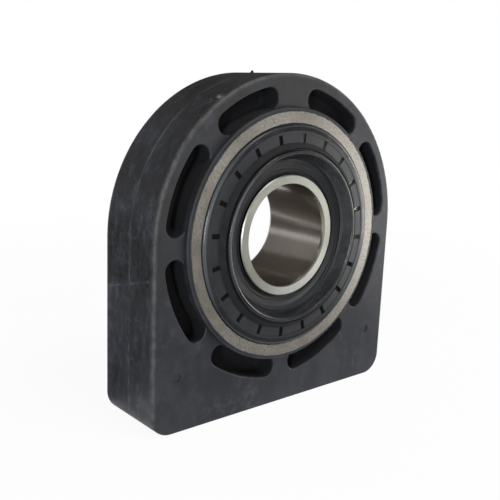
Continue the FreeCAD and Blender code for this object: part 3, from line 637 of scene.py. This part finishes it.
def make_ring_steel():
    steel = Finish("ring_steel", metallic=1.0)
    broad = steel.clouds(45, 5, 0.6)
    grain = steel.clouds(800, 5, 0.75)
    specks = steel.fade(steel.clouds(520, 4, 0.65), 0.62, 0.70)
    turning = steel.clouds(1, 2, 0.5, steel.round_axis(60, 60, 70))
    clean_and_lit = steel.times(steel.sector(*CLEAN_AND_LIT_SIDE), steel.fade(grain, 0.3, 0.6), 0.7)
    stain = steel.times(steel.sector(*STAINED_SIDE), steel.fade(broad, 0.30, 0.60, 0.25, 1.0), 0.5)

    colour = steel.mix(steel.fade(grain, 0.34, 0.66), *RING_GRAIN)
    colour = steel.mix(steel.fade(broad, 0.40, 0.72, 0.0, 0.6), colour, DULL_RING)
    colour = steel.mix(clean_and_lit, colour, CLEAN_AND_LIT_RING)
    colour = steel.mix(stain, colour, STAINED_RING)
    colour = steel.mix(steel.times(specks, 0.75), colour, RUST_SPECKS)
    roughness = steel.fade(grain, 0.2, 0.8, 0.42, 0.62)
    surface = steel.relief(turning, 0.1 * MM, 0.2)
    return steel.finish(colour, roughness, steel.relief(grain, 0.05 * MM, 0.8, surface))


ring_steel = make_ring_steel()

# %% [markdown]
# ## Ground steel of the races
# The race's end face is satin and rubbed pale at the lower right, and its bore is ground smooth.
# Grinding leaves lines that run round the bore, so across them, along the shaft, every highlight is
# drawn out into a streak. A noise that is squeezed hard along Y and loose the other ways gives such
# lines. Anisotropy would do it too, but it needs a direction at every point of the surface. The
# distance from the axis tells where the face ends and the bore begins. The bore is painted darker
# towards the rear, as painted shade, and the outside of the race, under the seal, is painted black,
# as painted shade.

# %% Race steel
RACE_FACE = ((0.225, 0.225, 0.195, 1), (0.295, 0.295, 0.260, 1))
RUBBED_FACE = (0.43, 0.43, 0.40, 1)
RUBBED_SIDE = (158, 15, 60)
GROUND_BORE = (grey(0.31, 0.10), grey(0.38, 0.08))
# Painted shade: the bore is painted darker towards the rear.
BORE_SHADE = grey(0.22, 0.10)
BORE_SHADE_DEEPENS = in_mm(-12, 24)
# Painted shade: the race is painted black where it lies under the seal.
UNDER_SEAL_SHADE = grey(0.04)
FACE_ROUGHNESS = 0.36
BORE_SMOOTHER = 0.18


def make_race_steel():
    steel = Finish("race_steel", metallic=1.0)
    in_bore = steel.fade(steel.radius, BORE_RADIUS + 0.2 * MM, BORE_RADIUS + 0.9 * MM, 1.0, 0.0)
    from_middle = steel.sum("ABSOLUTE", steel.y)
    under_seal = steel.times(
        steel.fade(from_middle, RACE_END - 1.0 * MM, RACE_END - 0.5 * MM, 1.0, 0.0),
        steel.fade(steel.radius, BORE_RADIUS + 3 * MM, BORE_RADIUS + 4 * MM),
    )
    broad = steel.clouds(40, 4, 0.55)
    grinding = steel.clouds(1, 4, 0.65, steel.stretch(60, 2600, 60))
    turning = steel.clouds(1600, 3, 0.6)

    face = steel.mix(steel.fade(broad, 0.3, 0.7), *RACE_FACE)
    face = steel.mix(steel.sector(*RUBBED_SIDE), face, RUBBED_FACE)
    bore = steel.mix(steel.fade(grinding, 0.3, 0.7), *GROUND_BORE)
    bore = steel.mix(steel.fade(steel.y, *BORE_SHADE_DEEPENS, 0.0, 0.45), bore, BORE_SHADE)
    colour = steel.mix(in_bore, face, bore)
    colour = steel.mix(under_seal, colour, UNDER_SEAL_SHADE)
    roughness = steel.sum("SUBTRACT", FACE_ROUGHNESS, steel.times(in_bore, BORE_SMOOTHER))
    roughness = steel.sum("ADD", roughness, steel.fade(broad, 0.3, 0.8, 0.0, 0.07))
    surface = steel.relief(grinding, 0.02 * MM, 0.3)
    return steel.finish(colour, roughness, steel.relief(turning, 0.01 * MM, 0.35, surface))


race_steel = make_race_steel()

# %% [markdown]
# ## Steel of the seal's case
# The seal's pressed case shows at the bottom of the notches. On the upper right it shows as pale
# plated metal, and elsewhere the notch floors are painted dark, as painted shade. A second material
# for the shaded notches would need faces picked out of the solid, so one finish lets the painted
# shade follow the direction.

# %% Case steel
PLATED_STEEL = ((0.15, 0.155, 0.095, 1), (0.30, 0.30, 0.20, 1))
# Painted shade: the notch floors are painted dark away from the upper right.
NOTCH_SHADE = grey(0.018, 0.1)
LIT_NOTCHES = (48, 25, 60)


def make_case_steel():
    steel = Finish("case_steel", metallic=1.0)
    broad = steel.clouds(120, 5, 0.6)
    notch_shade = steel.opposite(steel.sector(*LIT_NOTCHES))
    plated = steel.mix(steel.fade(broad, 0.3, 0.7), *PLATED_STEEL)
    colour = steel.mix(notch_shade, plated, NOTCH_SHADE)
    roughness = steel.sum("ADD", 0.40, steel.times(notch_shade, 0.35))
    return steel.finish(colour, roughness, steel.relief(broad, 0.02 * MM, 0.5))


case_steel = make_case_steel()

# %% [markdown]
# ## Finishes of the small parts
# The balls, cage, rivets, springs and retaining ring are hidden by the seals, but they get true
# finishes too, so the unit still looks right when it is taken apart. A cell for each would say the
# same five times. They differ only in colour, gloss and grain, so one function makes them all.

# %% Small parts
GRAIN_PER_LUMP = 14


def make_small_steel(name, dark, light, smooth, rough, lumps_per_metre, depth):
    steel = Finish(name, metallic=1.0)
    broad = steel.clouds(lumps_per_metre, 5, 0.6)
    grain = steel.clouds(lumps_per_metre * GRAIN_PER_LUMP, 3, 0.5)
    colour = steel.mix(steel.fade(broad, 0.3, 0.7), dark, light)
    roughness = steel.fade(broad, 0.3, 0.7, smooth, rough)
    return steel.finish(colour, roughness, steel.relief(grain, depth, 0.5))


ball_steel = make_small_steel("ball_steel", grey(0.66), grey(0.72), 0.05, 0.09, 60, 0.001 * MM)
cage_steel = make_small_steel("cage_steel", grey(0.40, 0.03), grey(0.52, 0.03), 0.28, 0.42, 90, 0.01 * MM)
rivet_steel = make_small_steel("rivet_steel", grey(0.34), grey(0.46), 0.30, 0.45, 300, 0.02 * MM)
clip_steel = make_small_steel("clip_steel", grey(0.03, -0.05), grey(0.06), 0.35, 0.50, 150, 0.02 * MM)
spring_steel = make_small_steel("spring_steel", grey(0.40), grey(0.52), 0.25, 0.35, 400, 0.01 * MM)

# %% [markdown]
# ## Giving each node its finish
# The record says which slot of finish each node takes. The nodes could be listed here by hand, but
# looked up by that name none is forgotten. Putting a finish in a node's first slot changes how it
# looks and nothing else.

# %% Dress the nodes
FINISHES = {
    "block_rubber": block_rubber,
    "seal_rubber": seal_rubber,
    "ring_steel": ring_steel,
    "race_steel": race_steel,
    "case_steel": case_steel,
    "ball_steel": ball_steel,
    "cage_steel": cage_steel,
    "rivet_steel": rivet_steel,
    "clip_steel": clip_steel,
    "spring_steel": spring_steel,
}
for part in frame["record"]["subparts"]:
    node = frame["nodes"][part["node"]]
    if not node.data.materials:
        node.data.materials.append(None)
    node.data.materials[0] = FINISHES[part["material_slot"]]

# %% [markdown]
# ## Flash round the steel ring
# When the rubber was moulded, a thin ragged skin of it crept over the ring's edge and was trimmed by
# hand. It could be painted on, but its torn edge catches light. So it is modelled as a closed skin
# that lies on the ring's chamfer: one strip of small quads whose inner edge wanders with noise. It
# mostly stays narrow, and here and there it reaches further in.

# %% The flash's torn edge
FLASH_WIDTH = 0.85 * MM
FLASH_THICKNESS = 0.06 * MM
FLASH_LIFT = 0.01 * MM


def torn_edge(angle, side):
    """How far the flash reaches in over the ring at an angle."""
    way_round = Vector((math.cos(angle), math.sin(angle), 3.0 * side))
    slow = noise.noise(way_round * 4.0)
    quick = noise.noise(way_round * 28.0)
    bites = noise.noise(way_round * 90.0)
    return FLASH_WIDTH * max(0.12, 0.45 + 0.45 * slow + 0.35 * quick + 0.30 * bites)


def flash_section(reach):
    """A cut through the flash: five points, each by its distance from the axis and from the middle."""
    surface = RING_END + FLASH_LIFT
    root = (RING_RADIUS + 0.35 * MM, RING_END - 0.75 * MM)
    bend = (RING_RADIUS - 0.05 * MM, RING_END - 0.10 * MM)
    ridge = (RING_RADIUS - 0.45 * MM, surface + FLASH_THICKNESS)
    torn = (RING_RADIUS - 0.30 * MM - reach, surface)
    underside = (RING_RADIUS - 0.60 * MM, surface - 0.30 * MM)
    return root, bend, ridge, torn, underside


front_reach = [torn_edge(math.radians(degree), -1) for degree in range(360)]
print(f"front flash reaches in {min(front_reach) / MM:.2f} to {max(front_reach) / MM:.2f} mm")

# %% [markdown]
# The cut is repeated round the ring, and each one is joined to the next with quads. A curve with a
# profile would make a strip too, but where it widens its whole profile would swell, and not just its
# torn edge.

# %% Flash
FLASH_STEPS = 1440


def make_flash(name, side):
    """The flash as a thin closed skin, at the front for side -1 and at the rear for side 1."""
    points = []
    for step in range(FLASH_STEPS):
        angle = 2 * math.pi * step / FLASH_STEPS
        section = flash_section(torn_edge(angle, side))
        points += [(r * math.sin(angle), side * h, r * math.cos(angle)) for r, h in section]
    corners = len(points) // FLASH_STEPS
    faces = []
    for step in range(FLASH_STEPS):
        here = step * corners
        ahead = ((step + 1) % FLASH_STEPS) * corners
        for corner in range(corners):
            following = (corner + 1) % corners
            quad = (here + corner, here + following, ahead + following, ahead + corner)
            faces.append(quad if side < 0 else quad[::-1])
    mesh = bpy.data.meshes.new(name)
    mesh.from_pydata(points, [], faces)
    mesh.polygons.foreach_set("use_smooth", [True] * len(faces))
    mesh.materials.append(block_rubber)
    piece = bpy.data.objects.new(name, mesh)
    bpy.context.scene.collection.objects.link(piece)
    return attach(piece, "housing")


for name, side in (("front_flash", -1), ("rear_flash", 1)):
    flash = make_flash(name, side)
    print(name, len(flash.data.polygons), "faces")

# %% [markdown]
# ## White ground
# The picture has a plain white ground. A white ground made with more light would wash out the steel.
# So the world is white only to the camera and in reflections, where a strength of 1 is white, and it
# lights the bearing with far less. The Light Path node tells the two apart.


# %% World
def seen_directly(tree):
    """1 for what the camera sees, straight or in a reflection or through glass, and 0 for light."""
    path = tree.nodes.new("ShaderNodeLightPath")
    total = path.outputs["Is Camera Ray"]
    for name in ("Is Glossy Ray", "Is Transmission Ray"):
        node = tree.nodes.new("ShaderNodeMath")
        node.operation = "MAXIMUM"
        tree.links.new(total, node.inputs[0])
        tree.links.new(path.outputs[name], node.inputs[1])
        total = node.outputs[0]
    return total


def add_background(tree, colour, strength):
    """A world shader of one colour and strength."""
    background = tree.nodes.new("ShaderNodeBackground")
    background.inputs["Color"].default_value = colour
    background.inputs["Strength"].default_value = strength
    return background.outputs[0]


AMBIENT = 0.30
SKY_COLOUR = (0.94, 0.97, 1.0, 1.0)
WHITE = (1.0, 1.0, 1.0, 1.0)
world = bpy.data.worlds.new("studio")
world.use_nodes = True
bpy.context.scene.world = world
sky = world.node_tree
sky.nodes.clear()
choice = sky.nodes.new("ShaderNodeMixShader")
sky_out = sky.nodes.new("ShaderNodeOutputWorld")
sky.links.new(seen_directly(sky), choice.inputs[0])
sky.links.new(add_background(sky, SKY_COLOUR, AMBIENT), choice.inputs[1])
sky.links.new(add_background(sky, WHITE, 1.0), choice.inputs[2])
sky.links.new(choice.outputs[0], sky_out.inputs[0])
print("ambient light", AMBIENT)

# %% [markdown]
# ## Lamps
# Five soft lamps stand in for the windows of the room. The one on the left is narrow and upright, so
# it draws thin lines along the seal's glossy bands. The one on the right and a small low one brighten
# the right half of every upright face, and the one above lights the arch. The last is a weak light
# from the front. One large lamp would be simpler, but it would light both halves of the face alike.

# %% Light the bearing
WINDOWS = (
    # name, direction, distance, width, height, watts, colour
    ("left_window", (-0.80, -0.59, 0.08), 1.4, 0.07, 0.45, 12.0, (0.84, 0.92, 1.0)),
    ("right_window", (0.97, -0.20, 0.10), 1.2, 0.3, 0.5, 2.6, (1.0, 0.98, 0.95)),
    ("low_window", (0.86, -0.50, -0.10), 0.50, 0.25, 0.08, 0.45, (1.0, 0.99, 0.97)),
    ("top_window", (0.10, -0.50, 0.85), 1.2, 0.5, 0.3, 7.5, (1.0, 0.99, 0.97)),
    ("front_window", (-0.20, -0.97, 0.10), 1.4, 0.4, 0.4, 2.6, (0.95, 0.97, 1.0)),
)


def add_window(name, direction, distance, width, height, watts, colour):
    """A soft rectangular lamp that faces the bearing from a direction."""
    lamp = bpy.data.lights.new(name, "AREA")
    lamp.shape = "RECTANGLE"
    lamp.size = width
    lamp.size_y = height
    lamp.energy = watts
    lamp.color = colour
    holder = bpy.data.objects.new(name, lamp)
    away = Vector(direction).normalized()
    holder.location = away * distance
    holder.rotation_euler = away.to_track_quat("Z", "Y").to_euler()
    bpy.context.scene.collection.objects.link(holder)


for window in WINDOWS:
    add_window(*window)

# %% [markdown]
# ## Cards
# Polished steel shows whatever stands around it, and satin rubber does so a little. With white on
# every side both would look pale, but in the photograph they are dark. Less light wouldn't help,
# because the white ground has to stay. Photographers stand dark cards around such a thing, so this
# scene has dark and grey ones: above it, in front on the right, behind on both sides, and on the
# left and the floor. The bore reflects the floor and the room behind it on the left. There one gap
# is left between the two cards on the floor, and another above the low card that stands behind
# them. The white that shows through the gaps makes the bore's two bright streaks. The camera
# doesn't see the cards, and they cast no shadow.

# %% Stand the cards
ON_FLOOR = FLOOR_LEVEL + 1 * MM
UPWARD = (0, 0, 1)
CARDS = (
    # name, place, width, height, shade, and for cards on the floor which way they face
    ("card_above", (-0.09, 0.09, 0.9), 2.2, 2.2, grey(0.20, 0.15)),
    ("card_right_behind", (0.78, 0.88, 0.36), 1.2, 0.9, grey(0.08, 0.2)),
    ("card_front", (1.05, -1.15, 0.20), 0.9, 0.6, grey(0.06)),
    ("card_left", (-0.95, -0.30, 0.15), 0.9, 0.7, grey(0.10)),
    ("card_behind", (-0.58, 0.73, 0.455), 1.2, 0.51, grey(0.42, 0.05)),
    ("card_behind_low", (-0.58, 0.73, -0.030), 1.2, 0.15, grey(0.20, 0.05)),
    ("card_floor_near", (-0.15, 0.125, ON_FLOOR), 0.44, 0.19, grey(0.20, 0.15), UPWARD),
    ("card_floor_far", (-0.30, 0.505, ON_FLOOR), 0.90, 0.47, grey(0.24, 0.12), UPWARD),
    ("card_floor_front", (0.05, -0.17, ON_FLOOR), 0.24, 0.22, grey(0.40), UPWARD),
)


def flat_mesh(name, width, height):
    """One rectangle, centred on its own origin and facing up."""
    across, upward = width / 2, height / 2
    corners = [(-across, -upward, 0), (across, -upward, 0), (across, upward, 0), (-across, upward, 0)]
    mesh = bpy.data.meshes.new(name)
    mesh.from_pydata(corners, [], [(0, 1, 2, 3)])
    return mesh


def add_card(name, place, width, height, shade, facing=None):
    """A flat matt card at a place. It faces the bearing, or the way that facing says."""
    mesh = flat_mesh(name, width, height)
    card = bpy.data.objects.new(name, mesh)
    card.location = place
    card.rotation_euler = Vector(facing or place).to_track_quat("Z", "Y").to_euler()
    card.visible_camera = False
    card.visible_shadow = False
    card.visible_diffuse = False
    bpy.context.scene.collection.objects.link(card)
    paper = bpy.data.materials.new(name)
    paper.use_nodes = True
    paper.node_tree.nodes["Principled BSDF"].inputs["Base Color"].default_value = shade
    paper.node_tree.nodes["Principled BSDF"].inputs["Roughness"].default_value = 1.0
    mesh.materials.append(paper)


for row in CARDS:
    add_card(*row)
print("cards:", [row[0] for row in CARDS])

# %% [markdown]
# ## Floor
# The floor is one large plane. A backdrop that curves up behind would do too, but a plane looks the
# same from every side. To the camera most of its colour is plain white, and the rest is real light,
# so the bearing's shadow still shows on it. Further out the plain white takes over, and no edge can
# be seen between floor and background.

# %% Floor
FLOOR_WIDTH = 30.0
FLOOR_DROP = 0.02 * MM
FLOOR_COLOUR = (0.9, 0.9, 0.9, 1.0)
NEAR_WHITE = 0.94
SHADOW_WITHIN = 0.15
ALL_WHITE_BEYOND = 0.80
floor_mesh = flat_mesh("floor", FLOOR_WIDTH, FLOOR_WIDTH)
floor = bpy.data.objects.new("floor", floor_mesh)
floor.location.z = FLOOR_LEVEL - FLOOR_DROP
bpy.context.scene.collection.objects.link(floor)

floor_finish = bpy.data.materials.new("floor")
floor_finish.use_nodes = True
tree = floor_finish.node_tree
tree.nodes.clear()
matt = tree.nodes.new("ShaderNodeBsdfDiffuse")
matt.inputs["Color"].default_value = FLOOR_COLOUR
glow = tree.nodes.new("ShaderNodeEmission")
place = tree.nodes.new("ShaderNodeTexCoord")
distance = tree.nodes.new("ShaderNodeVectorMath")
distance.operation = "LENGTH"
whiteness = tree.nodes.new("ShaderNodeMapRange")
whiteness.interpolation_type = "SMOOTHSTEP"
for socket, value in zip(whiteness.inputs[1:5], (SHADOW_WITHIN, ALL_WHITE_BEYOND, NEAR_WHITE, 1.0)):
    socket.default_value = value
share = tree.nodes.new("ShaderNodeMath")
share.operation = "MULTIPLY"
both = tree.nodes.new("ShaderNodeMixShader")
floor_out = tree.nodes.new("ShaderNodeOutputMaterial")
tree.links.new(place.outputs["Object"], distance.inputs[0])
tree.links.new(distance.outputs["Value"], whiteness.inputs["Value"])
tree.links.new(seen_directly(tree), share.inputs[0])
tree.links.new(whiteness.outputs["Result"], share.inputs[1])
tree.links.new(share.outputs[0], both.inputs[0])
tree.links.new(matt.outputs[0], both.inputs[1])
tree.links.new(glow.outputs[0], both.inputs[2])
tree.links.new(both.outputs[0], floor_out.inputs[0])
floor_mesh.materials.append(floor_finish)
print("floor at", round(floor.location.z, 5))

# %% [markdown]
# ## Finish
# A colour should come out about as it was written. Blender's own AgX view would grey and soften it,
# so the picture is shown with the plain Standard view.

# %% Finish
bpy.context.scene.view_settings.view_transform = "Standard"
